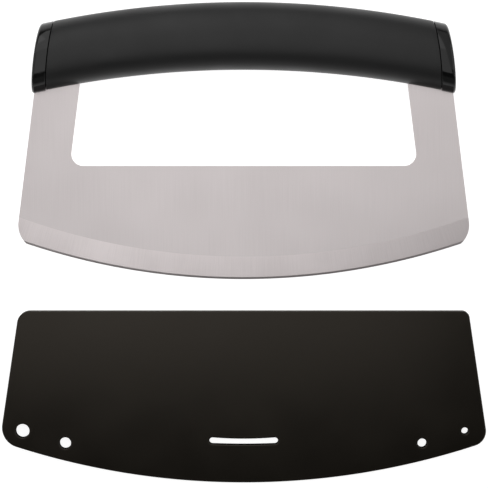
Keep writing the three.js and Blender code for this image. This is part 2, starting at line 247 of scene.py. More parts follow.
def startMaterial(name):
    material = bpy.data.materials.new(name)
    material.use_nodes = True
    material.node_tree.nodes.clear()
    return material, material.node_tree


def finishMaterial(tree, shader):
    addNode(tree, "OutputMaterial", {}, {"Surface": shader.outputs[0]})


# Runs from one colour to another while a pattern runs over a span of values.
def blendColours(tree, pattern, span, first, last):
    blend = addNode(tree, "ValToRGB", {}, {"Fac": pattern})
    ends = blend.color_ramp.elements
    ends[0].position = span[0]
    ends[0].color = toLinear(first)
    ends[1].position = span[1]
    ends[1].color = toLinear(last)
    return blend.outputs["Color"]


metre = 1000                 # mm, since patterns on Object coordinates repeat by the metre
noiseSpan = (0.3, 0.7)       # most of a noise pattern lies between these values
wholeSpan = (0, 1)

# Stainless strip, brushed up and down the blade. The lines are too fine to count and spread a reflection
# sideways, so the face looks like soft grey satin. The band above the edge is ground on a wheel: its lines
# are a little coarser and point at the centre of the edge's curve, and it is smoother. Its colour is painted
# lighter than the face's steel as a painted highlight, so it shows as a pale stripe that fades towards one end.
steelFace = {
    "name": "brushed_stainless_steel",
    "light": "#cfc8c8",
    "dark": "#cbc4c4",
    "roughness": 0.42,
    "wear": 0.03,            # roughness more or less, where polishing left it uneven
    "anisotropic": 0.7,
    "lineSpacing": 0.22,     # mm, really about 0.1 mm and too fine to show
    "lineLength": 25,        # mm
    "lineDepth": 4e-7,       # m
    "unevenSize": 26,        # mm, the soft patches that polishing leaves
}
groundBandPaintedHighlight = {
    "name": "ground_stainless_steel_painted_highlight",
    # These colours are lighter than the face's steel: a painted highlight on the band
    "light": "#e2dada",
    "dark": "#dcd4d4",
    "roughness": 0.37,
    "wear": 0.03,
    "anisotropic": 0.4,
    "lineSpacing": 0.3,      # mm, really about 0.15 mm
    "lineLength": 12,
    "lineDepth": 3e-7,
    "unevenSize": 18,
}
steelMix = {
    "lineBreaks": 0.6,       # how much finer scratches break up the lines
    "unevenShare": 0.6,      # how much the patches count beside the lines
    "colourSpan": (0.5, 1),  # values of both together over which the colour changes
    "roughSpan": (0.4, 1.2),
}


def satinStainless(steel):
    material, tree = startMaterial(steel["name"])
    grain = addNode(tree, "UVMap", {"uv_map": "grain"}, {})
    lines = addNode(tree, "Mapping", {}, {
        "Vector": grain.outputs["UV"],
        "Scale": (1 / steel["lineSpacing"], 1 / steel["lineLength"], 1)})
    brushed = addNode(tree, "TexNoise", {"noise_dimensions": "2D"}, {
        "Vector": lines.outputs["Vector"], "Scale": 1, "Detail": 2, "Roughness": steelMix["lineBreaks"]})
    uneven = addNode(tree, "TexNoise", {"noise_dimensions": "2D"}, {
        "Vector": grain.outputs["UV"], "Scale": 1 / steel["unevenSize"], "Detail": 1})
    both = addNode(tree, "Math", {"operation": "MULTIPLY_ADD"}, {
        0: uneven.outputs["Fac"], 1: steelMix["unevenShare"], 2: brushed.outputs["Fac"]})
    colour = blendColours(tree, both.outputs[0], steelMix["colourSpan"], steel["dark"], steel["light"])
    rough = addNode(tree, "MapRange", {}, {
        "Value": both.outputs[0],
        "From Min": steelMix["roughSpan"][0], "From Max": steelMix["roughSpan"][1],
        "To Min": steel["roughness"] + steel["wear"], "To Max": steel["roughness"] - steel["wear"]})
    bump = addNode(tree, "Bump", {}, {
        "Height": brushed.outputs["Fac"], "Strength": 1, "Distance": steel["lineDepth"]})
    across = addNode(tree, "Tangent", {"direction_type": "UV_MAP", "uv_map": "grain"}, {})
    finishMaterial(tree, addNode(tree, "BsdfPrincipled", {}, {
        "Base Color": colour, "Metallic": 1, "Roughness": rough.outputs["Result"],
        "Anisotropic": steel["anisotropic"], "Tangent": across.outputs["Tangent"],
        "Normal": bump.outputs["Normal"]}))
    return material


# Soft-touch thermoplastic rubber moulded over the core. It is nearly black and dull, with a fine dry grain.
gripRubber = {
    "light": "#131313",
    "dark": "#0f0f0f",
    "roughness": 0.45,
    "rubbed": 0.04,          # roughness more or less, where hands have rubbed it
    "ior": 1.5,
    "specular": 0.37,
    "grainSize": 0.6,        # mm, really about 0.1 mm and too fine to show
    "grainDepth": 1.2e-5,    # m
    "patchSize": 18,         # mm, the rubbed places
}


def softRubber():
    material, tree = startMaterial("soft_touch_rubber")
    where = addNode(tree, "TexCoord", {}, {})
    grain = addNode(tree, "TexNoise", {}, {
        "Vector": where.outputs["Object"], "Scale": metre / gripRubber["grainSize"], "Detail": 1})
    patches = addNode(tree, "TexNoise", {}, {
        "Vector": where.outputs["Object"], "Scale": metre / gripRubber["patchSize"], "Detail": 2})
    colour = blendColours(tree, patches.outputs["Fac"], noiseSpan, gripRubber["dark"], gripRubber["light"])
    rough = addNode(tree, "MapRange", {}, {
        "Value": patches.outputs["Fac"], "From Min": noiseSpan[0], "From Max": noiseSpan[1],
        "To Min": gripRubber["roughness"] + gripRubber["rubbed"],
        "To Max": gripRubber["roughness"] - gripRubber["rubbed"]})
    bump = addNode(tree, "Bump", {}, {
        "Height": grain.outputs["Fac"], "Strength": 1, "Distance": gripRubber["grainDepth"]})
    finishMaterial(tree, addNode(tree, "BsdfPrincipled", {}, {
        "Base Color": colour, "Roughness": rough.outputs["Result"], "IOR": gripRubber["ior"],
        "Specular IOR Level": gripRubber["specular"], "Normal": bump.outputs["Normal"]}))
    return material


# ABS from a polished mould. It is black and mirrors the lamps, a little blurred by handling.
capPlastic = {
    "colour": "#0c0c0c",
    "smear": "#131313",
    "roughness": 0.1,
    "wiped": 0.03,           # roughness less by this where it is clean
    "smeared": 0.05,         # and more by this in the finger marks
    "ior": 1.54,
    "specular": 0.33,
    "smearSize": 7,          # mm, finger marks
    "smearSpan": (0.4, 0.8),
    "sinkSize": 14,          # mm, slow waves that cooling leaves in the skin
    "sinkDepth": 2e-5,       # m
}


def glossAbs():
    material, tree = startMaterial("polished_abs")
    where = addNode(tree, "TexCoord", {}, {})
    smears = addNode(tree, "TexNoise", {}, {
        "Vector": where.outputs["Object"], "Scale": metre / capPlastic["smearSize"], "Detail": 3})
    sinks = addNode(tree, "TexNoise", {}, {
        "Vector": where.outputs["Object"], "Scale": metre / capPlastic["sinkSize"], "Detail": 0})
    colour = blendColours(
        tree, smears.outputs["Fac"], capPlastic["smearSpan"], capPlastic["colour"], capPlastic["smear"])
    rough = addNode(tree, "MapRange", {}, {
        "Value": smears.outputs["Fac"], "From Min": noiseSpan[0], "From Max": noiseSpan[1],
        "To Min": capPlastic["roughness"] - capPlastic["wiped"],
        "To Max": capPlastic["roughness"] + capPlastic["smeared"]})
    bump = addNode(tree, "Bump", {}, {
        "Height": sinks.outputs["Fac"], "Strength": 1, "Distance": capPlastic["sinkDepth"]})
    finishMaterial(tree, addNode(tree, "BsdfPrincipled", {}, {
        "Base Color": colour, "Roughness": rough.outputs["Result"], "IOR": capPlastic["ior"],
        "Specular IOR Level": capPlastic["specular"], "Normal": bump.outputs["Normal"]}))
    return material


# Polypropylene from a finely blasted mould. It is a warm black satin whose sheen fades softly.
coverPlastic = {
    "light": "#100e0a",
    "dark": "#0c0a07",
    "roughness": 0.3,
    "smoother": 0.02,        # roughness less by this in the dark clouds
    "duller": 0.03,          # and more by this in the pale ones
    "ior": 1.49,
    "specular": 0.42,
    "sheen": "#fff2e2",
    "grainSize": 0.7,        # mm, really about 0.15 mm and too fine to show
    "grainDepth": 4e-6,      # m
    "flowSize": 22,          # mm, faint clouds where the melt flowed
}


def satinPolypropylene():
    material, tree = startMaterial("satin_polypropylene")
    where = addNode(tree, "TexCoord", {}, {})
    grain = addNode(tree, "TexNoise", {}, {
        "Vector": where.outputs["Object"], "Scale": metre / coverPlastic["grainSize"], "Detail": 1})
    clouds = addNode(tree, "TexNoise", {}, {
        "Vector": where.outputs["Object"], "Scale": metre / coverPlastic["flowSize"], "Detail": 2})
    colour = blendColours(
        tree, clouds.outputs["Fac"], noiseSpan, coverPlastic["dark"], coverPlastic["light"])
    rough = addNode(tree, "MapRange", {}, {
        "Value": clouds.outputs["Fac"], "From Min": noiseSpan[0], "From Max": noiseSpan[1],
        "To Min": coverPlastic["roughness"] - coverPlastic["smoother"],
        "To Max": coverPlastic["roughness"] + coverPlastic["duller"]})
    bump = addNode(tree, "Bump", {}, {
        "Height": grain.outputs["Fac"], "Strength": 1, "Distance": coverPlastic["grainDepth"]})
    finishMaterial(tree, addNode(tree, "BsdfPrincipled", {}, {
        "Base Color": colour, "Roughness": rough.outputs["Result"], "IOR": coverPlastic["ior"],
        "Specular IOR Level": coverPlastic["specular"], "Specular Tint": toLinear(coverPlastic["sheen"]),
        "Normal": bump.outputs["Normal"]}))
    return material


# The same polypropylene in the holes, with painted shade: its colour is darker than the cover's and it has no
# specular reflection, so the walls of the holes stay black as if light hardly got in.
holeWall = {
    # Both colours are painted shade, darker than the cover's own colours
    "light": "#0b0a08",
    "dark": "#060605",
    "roughness": 0.9,
    "specular": 0,
    "scratchSize": 0.8,      # mm, marks of the pins drawing out
    "scratchDepth": 1e-5,    # m
}


def holeWallPaintedShade():
    material, tree = startMaterial("hole_wall_painted_shade")
    where = addNode(tree, "TexCoord", {}, {})
    marks = addNode(tree, "TexNoise", {}, {
        "Vector": where.outputs["Object"], "Scale": metre / holeWall["scratchSize"], "Detail": 2})
    colour = blendColours(tree, marks.outputs["Fac"], wholeSpan, holeWall["dark"], holeWall["light"])
    bump = addNode(tree, "Bump", {}, {
        "Height": marks.outputs["Fac"], "Strength": 1, "Distance": holeWall["scratchDepth"]})
    finishMaterial(tree, addNode(tree, "BsdfPrincipled", {}, {
        "Base Color": colour, "Roughness": holeWall["roughness"],
        "Specular IOR Level": holeWall["specular"], "Normal": bump.outputs["Normal"]}))
    return material


# Glass-filled nylon as moulded, inside the handle. It is dull, with pale flecks of fibre.
corePlastic = {
    "base": "#222224",
    "fibre": "#39393b",
    "roughness": 0.6,
    "ior": 1.53,
    "fibreSize": 0.5,        # mm
    "fibreSpan": (0.5, 0.8),
    "fibreDepth": 1e-5,      # m
}


def filledNylon():
    material, tree = startMaterial("glass_filled_nylon")
    where = addNode(tree, "TexCoord", {}, {})
    fibres = addNode(tree, "TexNoise", {}, {
        "Vector": where.outputs["Object"], "Scale": metre / corePlastic["fibreSize"], "Detail": 2})
    colour = blendColours(
        tree, fibres.outputs["Fac"], corePlastic["fibreSpan"], corePlastic["base"], corePlastic["fibre"])
    bump = addNode(tree, "Bump", {}, {
        "Height": fibres.outputs["Fac"], "Strength": 1, "Distance": corePlastic["fibreDepth"]})
    finishMaterial(tree, addNode(tree, "BsdfPrincipled", {}, {
        "Base Color": colour, "Roughness": corePlastic["roughness"], "IOR": corePlastic["ior"],
        "Normal": bump.outputs["Normal"]}))
    return material


# Steel dowel, centreless ground: bright grey, with fine rings round the pin.
pinSteel = {
    "light": "#c8c8ca",
    "dark": "#aaaaac",
    "roughness": 0.25,
    "ringSpacing": 0.3,      # mm
    "ringDepth": 4e-6,       # m
}


def groundSteel():
    material, tree = startMaterial("ground_dowel_steel")
    where = addNode(tree, "TexCoord", {}, {})
    along = addNode(tree, "SeparateXYZ", {}, {"Vector": where.outputs["Object"]})
    rings = addNode(tree, "TexNoise", {"noise_dimensions": "1D"}, {
        "W": along.outputs["Z"], "Scale": metre / pinSteel["ringSpacing"], "Detail": 1})
    colour = blendColours(tree, rings.outputs["Fac"], wholeSpan, pinSteel["dark"], pinSteel["light"])
    bump = addNode(tree, "Bump", {}, {
        "Height": rings.outputs["Fac"], "Strength": 1, "Distance": pinSteel["ringDepth"]})
    finishMaterial(tree, addNode(tree, "BsdfPrincipled", {}, {
        "Base Color": colour, "Metallic": 1, "Roughness": pinSteel["roughness"],
        "Normal": bump.outputs["Normal"]}))
    return material


# The handle's form: oval sections that stand square to an arched line between two arcs

handle = {
    "rise": 91.9,            # underside over the cutting edge, at the middle
    "height": 29.7,
    "depth": 24,
    "length": 182.2,
    "topRadius": 420,
    "underRadius": 431,
    "ovalPower": 2.4,        # 2 is an ellipse, and more is squarer
    "endBow": 0.75,          # the seams and the ends bow out by about this at mid height
    "wall": 2.2,
    "seamRound": 0.25,
    "seamGap": 0.3,
    "lip": 0.6,              # the grip's lip over a cap's collar
    "lap": 1.6,              # how far the collar goes under the lip
    "capWidth": 6.2,
    "capCrown": 0.3,
    "capEdge": 1.2,
    "capDrop": 0.4,          # the caps reach below the grip's underside by this
    "crownShares": (0.9, 0.75, 0.55, 0.35, 0.15, 0.03),      # sections of the crown, from its edge in
    "socket": 2.5,           # depth of the cap's hollow for the core
    "seamSteps": 4,
    "edgeSteps": 8,
    "around": 96,            # vertices round a section
    "stations": 84,          # sections along the grip
}

blade = {
    "width": 200,
    "thickness": 1.5,
    "edgeRadius": 300,
    "cornerRadius": 11,
    "cornerKink": math.radians(5.5),
    "grindHeight": 10,
    "honeHeight": 0.9,
    "honeThickness": 0.5,
    "edgeFlat": 0.1,
    "sill": 49.8,
    "windowRadius": 5.2,
    "earWidth": 19.5,
    "earInset": 1.14,
    "tangReach": 21.57,
    "tangStep": 4,
    "tangRadius": 2.5,
    "pinHole": 3.6,
    "pinSpacing": 8.5,
    "pinEdge": 5,
    "rim": 0.12,             # rounding of the stamped edges
    "rimSteps": 3,
    "pinHoleSides": 32,
    "grindSteps": 160,
    "grindPast": 3,          # the grinder reaches past the blank by this
    "grindTurn": math.radians(6),    # and turns past the blade's corners by this
    "fit": 0.3,              # room round the ears in the handle
}

halfBlade = blade["width"] / 2
halfHandle = handle["length"] / 2
cornerHeight = blade["edgeRadius"] - math.sqrt(blade["edgeRadius"] ** 2 - halfBlade ** 2)
topCentre = Vector((0, handle["rise"] + handle["height"] - handle["topRadius"]))
underCentre = Vector((0, handle["rise"] - handle["underRadius"]))
endTop = topCentre.y + math.sqrt(handle["topRadius"] ** 2 - halfHandle ** 2)
endUnder = underCentre.y + math.sqrt(handle["underRadius"] ** 2 - halfHandle ** 2)
endMiddle = (endTop + endUnder) / 2
sideLean = math.atan((halfBlade - halfHandle + blade["earInset"]) / (endMiddle - cornerHeight))
print("handle ends", round(endMiddle, 3), "mm over the edge, sides lean", round(math.degrees(sideLean), 3))


# How far along a direction a line leaves a circle
def reach(start, direction, centre, radius):
    away = start - centre
    along = away.dot(direction)
    return -along + math.sqrt(along ** 2 - away.length_squared + radius ** 2)


# Where a section of the handle stands. It leans with the blade's sides and spans the arcs less the inset.
# share draws it in towards its own middle, and drop lowers its underside.
def sectionPlace(station, inset, share=1, drop=0):
    lean = sideLean * station / halfHandle
    up = Vector((-math.sin(lean), math.cos(lean)))
    foot = Vector((station, endMiddle))
    top = reach(foot, up, topCentre, handle["topRadius"])
    under = reach(foot, up, underCentre, handle["underRadius"]) - drop
    middle = foot + up * (top + under) / 2
    halfHeight = ((top - under) / 2 - inset) * share
    halfDepth = (handle["depth"] / 2 - inset) * share
    place = Matrix.Identity(4)
    place.col[0] = (0, 0, halfDepth, 0)
    place.col[1] = (up.x * halfHeight, up.y * halfHeight, 0, 0)
    place.col[2] = (up.y, -up.x, 0, 0)
    place.col[3] = (middle.x, middle.y, 0, 1)
    return place


# Moves points of the handle along it, so that the seams and the ends bow out.
def bowOut(verts):
    for vert in verts:
        x, y = vert.co.xy
        top = topCentre.y + math.sqrt(handle["topRadius"] ** 2 - x ** 2)
        under = underCentre.y + math.sqrt(handle["underRadius"] ** 2 - x ** 2)
        level = (2 * y - top - under) / (top - under)        # -1 at the underside, 1 at the top
        vert.co.x += handle["endBow"] * (1 - level ** 2) * x / halfHandle


# Draws one oval and extrudes it from section to section. Returns the edges of the first and the last one.
def loftSections(bm, sections):
    ring = bmesh.ops.create_circle(bm, segments=handle["around"], radius=1)["verts"]
    for vert in ring:
        for axis in (0, 1):
            wave = vert.co[axis]
            vert.co[axis] = math.copysign(abs(wave) ** (2 / handle["ovalPower"]), wave)
    place = sectionPlace(*sections[0])
    bmesh.ops.transform(bm, matrix=place, verts=ring)
    first = edges = list({edge for vert in ring for edge in vert.link_edges})
    for section in sections[1:]:
        made = bmesh.ops.extrude_edge_only(bm, edges=edges)["geom"]
        fresh = partsOf(made, bmesh.types.BMVert)
        kept = set(fresh)
        edges = [edge for edge in partsOf(made, bmesh.types.BMEdge) if kept.issuperset(edge.verts)]
        following = sectionPlace(*section)
        bmesh.ops.transform(bm, matrix=following @ place.inverted(), verts=fresh)
        place = following
    bowOut(bm.verts)
    return first, edges


# The blade's outer side, and the window's side, which runs beside it
def sideAt(y):
    return halfBlade - (y - cornerHeight) * math.tan(sideLean)


def windowAt(y):
    return sideAt(y) - blade["earWidth"]


seam = halfHandle - handle["capWidth"]
shoulder = underCentre.y + math.sqrt(handle["underRadius"] ** 2 - seam ** 2)
tangTop = shoulder + blade["tangReach"]
cornerSlope = math.asin(halfBlade / blade["edgeRadius"]) + blade["cornerKink"]
blankLow = cornerHeight - halfBlade * math.tan(cornerSlope)


# The right ear from its shoulder to the top of its tang, grown all round
def earCorners(grow):
    step = blade["tangStep"]
    rounding = blade["tangRadius"] + grow
    return [
        (sideAt(shoulder) + grow, shoulder + grow),
        (sideAt(shoulder) - step + grow, shoulder + grow),
        (sideAt(tangTop) - step + grow, tangTop + grow, rounding),
        (windowAt(tangTop) - grow, tangTop + grow, rounding),
    ]


# The room that both ears take up in the handle
def earPockets():
    bm = bmesh.new()
    fit = blade["fit"]
    foot = blade["sill"] + blade["windowRadius"]
    right = [(windowAt(foot) - fit, foot), (sideAt(foot) + fit, foot)] + earCorners(fit)
    halfRoom = blade["thickness"] / 2 + fit
    for corners in (right, mirrored(right)):
        drawLoop(bm, cornerArcs(corners), -halfRoom)
    base = list(bm.edges)
    fillFlat(bm, base)
    fillFlat(bm, raiseWalls(bm, base, [(halfRoom, 0)]))
    return makeObject("ear_pockets", bm)


# Blade: a stamped plate with rounded rims, then both bevels ground off round the centre of the edge's curve

def bladeBlank():
    bm = bmesh.new()
    right = [(halfBlade, cornerHeight, blade["cornerRadius"])] + earCorners(0)
    right.append((windowAt(blade["sill"]), blade["sill"], blade["windowRadius"]))
    rim = roundedRim(blade["thickness"] / 2, blade["rim"], blade["rimSteps"])
    drawLoop(bm, cornerArcs([(0, blankLow)] + right + mirrored(right)), 0)
    for y in (tangTop - blade["pinEdge"], tangTop - blade["pinEdge"] - blade["pinSpacing"]):
        x = (sideAt(y) - blade["tangStep"] + windowAt(y)) / 2
        for side in (-1, 1):
            spot = Matrix.Translation((side * x, y, 0))
            bmesh.ops.create_circle(
                bm, segments=blade["pinHoleSides"], radius=blade["pinHole"] / 2, matrix=spot)
    middle = list(bm.edges)
    for way in (1, -1):
        fillFlat(bm, raiseWalls(bm, middle, [(way * height, inset) for height, inset in rim]))
    return makeObject("steel_blade", bm)


def grinder():
    bm = bmesh.new()
    radius = blade["edgeRadius"]
    centre = (0, radius, 0)
    slope = (blade["thickness"] - blade["honeThickness"]) / 2 / (blade["grindHeight"] - blade["honeHeight"])
    clear = blade["thickness"]
    start = radius - blade["grindHeight"] - (clear - blade["thickness"] / 2) / slope
    outside = radius - blankLow + blade["grindPast"]
    upper = [
        (outside, clear),
        (start, clear),
        (radius - blade["honeHeight"], blade["honeThickness"] / 2),
        (radius, blade["edgeFlat"] / 2),
    ]
    profile = upper + [(away, -height) for away, height in reversed(upper)]
    verts = [bm.verts.new((0, radius - away, height)) for away, height in profile]
    edges = [bm.edges.new((a, b)) for a, b in zip(verts, verts[1:] + verts[:1])]
    sweep = math.asin(halfBlade / radius) + blade["grindTurn"]
    bmesh.ops.rotate(bm, cent=centre, matrix=Matrix.Rotation(-sweep, 3, "Z"), verts=verts)
    turned = bmesh.ops.spin(
        bm, geom=edges, cent=centre, axis=(0, 0, 1), angle=2 * sweep, steps=blade["grindSteps"])
    for end in (edges, partsOf(turned["geom_last"], bmesh.types.BMEdge)):
        bmesh.ops.contextual_create(bm, geom=end)
    return makeObject("grinder", bm)


# U runs across the brushed lines and V along them, in millimetres: lines stand upright on the face and
# point at the centre of the edge's curve in the ground band.
def layGrain(mesh):
    centre = Vector((0, blade["edgeRadius"]))
    bandStart = blade["edgeRadius"] - blade["grindHeight"]
    grain = mesh.uv_layers.new(name="grain")
    for face in mesh.polygons:
        onSide = abs(face.normal.z) > drawing["sideNormal"]
        onBand = onSide and (face.center.to_2d() - centre).length > bandStart
        face.material_index = 1 if onBand else 0
        for index in face.loop_indices:
            spot = mesh.vertices[mesh.loops[index].vertex_index].co
            away = spot.to_2d() - centre
            if onBand:
                grain.data[index].uv = (math.atan2(away.x, -away.y) * blade["edgeRadius"], away.length)
            elif onSide:
                grain.data[index].uv = (spot.x, spot.y)
            else:
                grain.data[index].uv = (spot.z, spot.y * face.normal.x - spot.x * face.normal.y)


steelBlade = bladeBlank()
cutAway(steelBlade, grinder())
layGrain(steelBlade.data)
bladeFinishes = [satinStainless(steel) for steel in (steelFace, groundBandPaintedHighlight)]
standIn(steelBlade, laidKnife, "blade", "knife", "blade_steel", *bladeFinishes)
print("blade:", len(steelBlade.data.polygons), "faces,", len(steelBlade.data.materials), "finishes")


# Grip: a closed sleeve with rounded rims, slotted for the ears

def gripSleeve():
    bm = bmesh.new()
    end = seam - handle["seamGap"] / 2
    rim = roundedRim(end, handle["seamRound"], handle["seamSteps"])      # (station, inset)
    flat = end - handle["seamRound"]
    outside = [(-station, inset) for station, inset in reversed(rim)]
    for step in range(1, handle["stations"]):
        outside.append((flat * (2 * step / handle["stations"] - 1), 0))
    outside += rim
    steps = handle["stations"] // 2
    bore = seam - handle["lap"]
    inside = [(end, handle["lip"]), (bore, handle["lip"])]
    inside += [(bore * (1 - 2 * step / steps), handle["wall"]) for step in range(steps + 1)]
    inside += [(-bore, handle["lip"]), (-end, handle["lip"])]
    first, last = loftSections(bm, outside + inside)
    bmesh.ops.bridge_loops(bm, edges=first + last)
    for face in bm.faces:
        face.smooth = True
    return makeObject("grip_sleeve", bm)


sleeve = gripSleeve()
cutAway(sleeve, earPockets())
standIn(sleeve, laidKnife, "soft_grip", "knife", "grip_rubber", softRubber())
print("grip:", len(sleeve.data.polygons), "faces")


# Caps: a collar under the grip's lip, a rim at the seam, a rounded edge, a low crown and a socket for the
# core

def endCap(name, side):
    bm = bmesh.new()
    start = seam + handle["seamGap"] / 2
    bend = halfHandle - handle["capCrown"]
    drop = handle["capDrop"]
    collarEnd = seam - handle["lap"] + blade["fit"]
    collarInset = handle["lip"] + blade["fit"]
    sections = [(seam + handle["socket"], handle["wall"]), (collarEnd, handle["wall"])]
    sections += [(collarEnd, collarInset), (start, collarInset)]
    for station, inset in reversed(roundedRim(start, handle["seamRound"], handle["seamSteps"])):
        sections.append((2 * start - station, inset, 1, drop))
    for station, inset in roundedRim(bend, handle["capEdge"], handle["edgeSteps"]):
        sections.append((station, inset, 1, drop))
    for share in handle["crownShares"]:
        crown = halfHandle - handle["capCrown"] * share ** 2
        sections.append((crown, handle["capEdge"], share, drop))
    ends = loftSections(bm, [(side * section[0], *section[1:]) for section in sections])
    for edges in ends:
        bmesh.ops.contextual_create(bm, geom=edges)
    for face in bm.faces:
        face.smooth = len(face.verts) == 4
    return makeObject(name, bm)


capMaterial = glossAbs()
for hand, side in (("left", -1), ("right", 1)):
    cap = endCap("cap_" + hand, side)
    cutAway(cap, earPockets())
    standIn(cap, laidKnife, "end_cap_" + hand, "knife", "cap_plastic", capMaterial)
    print("cap", hand + ":", len(cap.data.polygons), "faces")


# Cover: two moulded halves with a pocket for the blade, low ribs, a flared mouth, a bowed slot and herb
# holes

cover = {
    "height": 75.8,
    "gap": 13.9,             # mouth to the blade's edge, as they lie
    "mouthInset": 1.1,       # how much narrower than the blade the mouth is, at each end
    "lean": math.radians(8.5),
    "bottomRadius": 327,
    "thickness": 5,
    "edgeRound": 0.5,
    "edgeSteps": 5,
    "mouthRadius": {"left": 5.7, "right": 3.2},
    "lowerRadius": {"left": 9, "right": 6.8},
    "seat": 22,              # lowest point to the blade's edge, pushed home
    "pocketGap": 0.5,
    "pocketHalf": 1.25,
    "sideWall": 1.6,
    "partingHalf": 0.15,     # half the gap between the halves
    "ribWidth": 2.4,
    "ribHalf": 0.9,          # rib face to the middle of the steel
    "ribSpacing": 60,
    "ribMargin": 9,
    "flareDepth": 2.5,
    "flareWidth": 0.4,
    "holeInset": 7.65,
    "holeCorner": 12.83,
    "holeSpacing": 18.8,
    "holeSizes": (6, 5, 4, 3),
    "slotInset": 18.2,       # curved bottom edge to the slot's ends
    "slotLength": 30.3,
    "slotWidth": 2.9,        # at its ends
    "slotUpperRadius": 160,  # the upper edge bows more, so the slot is narrower in the middle
    "slotLowerRadius": 340,
}

halfMouth = halfBlade - cover["mouthInset"]
pocketSide = halfBlade + cover["pocketGap"]
pocketRadius = blade["edgeRadius"] + cover["pocketGap"]
pocketCentre = (0, cover["seat"] + blade["edgeRadius"])
wallTop = cover["height"] - (pocketSide + cover["sideWall"] - halfMouth) / math.tan(cover["lean"])
laidCover = laidKnife @ Matrix.Translation((0, -cover["height"] - cover["gap"], 0))
quarter = math.pi / 2


def coverSideAt(y):
    return halfMouth + (cover["height"] - y) * math.tan(cover["lean"])


# Arcs of one end of the outline: the lower corner, the stop where the side wall ends, and the mouth's
# corner
def coverEnd(hand):
    bottom = Vector((0, cover["bottomRadius"]))
    lean = cover["lean"]
    lower = cover["lowerRadius"][hand]
    mouth = cover["mouthRadius"][hand]
    foot = Vector((coverSideAt(0) - lower / math.cos(lean), 0))
    down = Vector((math.sin(lean), -math.cos(lean)))
    corner = foot + down * reach(foot, down, bottom, cover["bottomRadius"] - lower)
    sweep = math.atan2(corner.x, bottom.y - corner.y)
    mouthY = cover["height"] - mouth
    mouthX = coverSideAt(mouthY) - mouth / math.cos(lean)
    arcs = [
        (corner, lower, sweep - quarter, lean),
        ((coverSideAt(wallTop), wallTop), 0, 0, 0),
        ((mouthX, mouthY), mouth, lean, quarter),
    ]
    return sweep, arcs


def turnedOver(arcs):
    return [((-c[0], c[1]), r, math.pi - end, math.pi - begin) for c, r, begin, end in reversed(arcs)]


def slotArcs():
    end = cover["slotWidth"] / 2
    upper = cover["slotUpperRadius"]
    lower = cover["slotLowerRadius"]
    x = cover["slotLength"] / 2 - end
    y = cover["bottomRadius"] - math.sqrt((cover["bottomRadius"] - cover["slotInset"]) ** 2 - x ** 2)
    upperBow = math.asin(x / (upper + end))
    lowerBow = math.asin(x / (lower - end))
    upperCentre = (0, y + (upper + end) * math.cos(upperBow))
    lowerCentre = (0, y + (lower - end) * math.cos(lowerBow))
    return [
        (lowerCentre, lower, -quarter - lowerBow, -quarter + lowerBow),
        ((x, y), end, -quarter + lowerBow, quarter + upperBow),
        (upperCentre, upper, -quarter + upperBow, -quarter - upperBow),
        ((-x, y), end, quarter - upperBow, 3 * quarter - lowerBow),
    ]


# Draws loops, fills them as one flat region and marks its faces with the region's number.
def drawRegion(bm, loops, region, level):
    before = set(bm.edges)
    for arcs in loops:
        drawLoop(bm, arcs, level)
    fresh = [edge for edge in bm.edges if edge not in before]
    for face in fillFlat(bm, fresh):
        face.material_index = region


# Draws a region's faces out to another level, with walls round them.
def drawOut(bm, region, level):
    faces = [face for face in bm.faces if face.material_index == region]
    made = bmesh.ops.extrude_face_region(bm, geom=faces)["geom"]
    for vert in partsOf(made, bmesh.types.BMVert):
        vert.co.z = level
    left = [face for face in faces if face.is_valid]
    bmesh.ops.delete(bm, geom=left, context="FACES_ONLY")


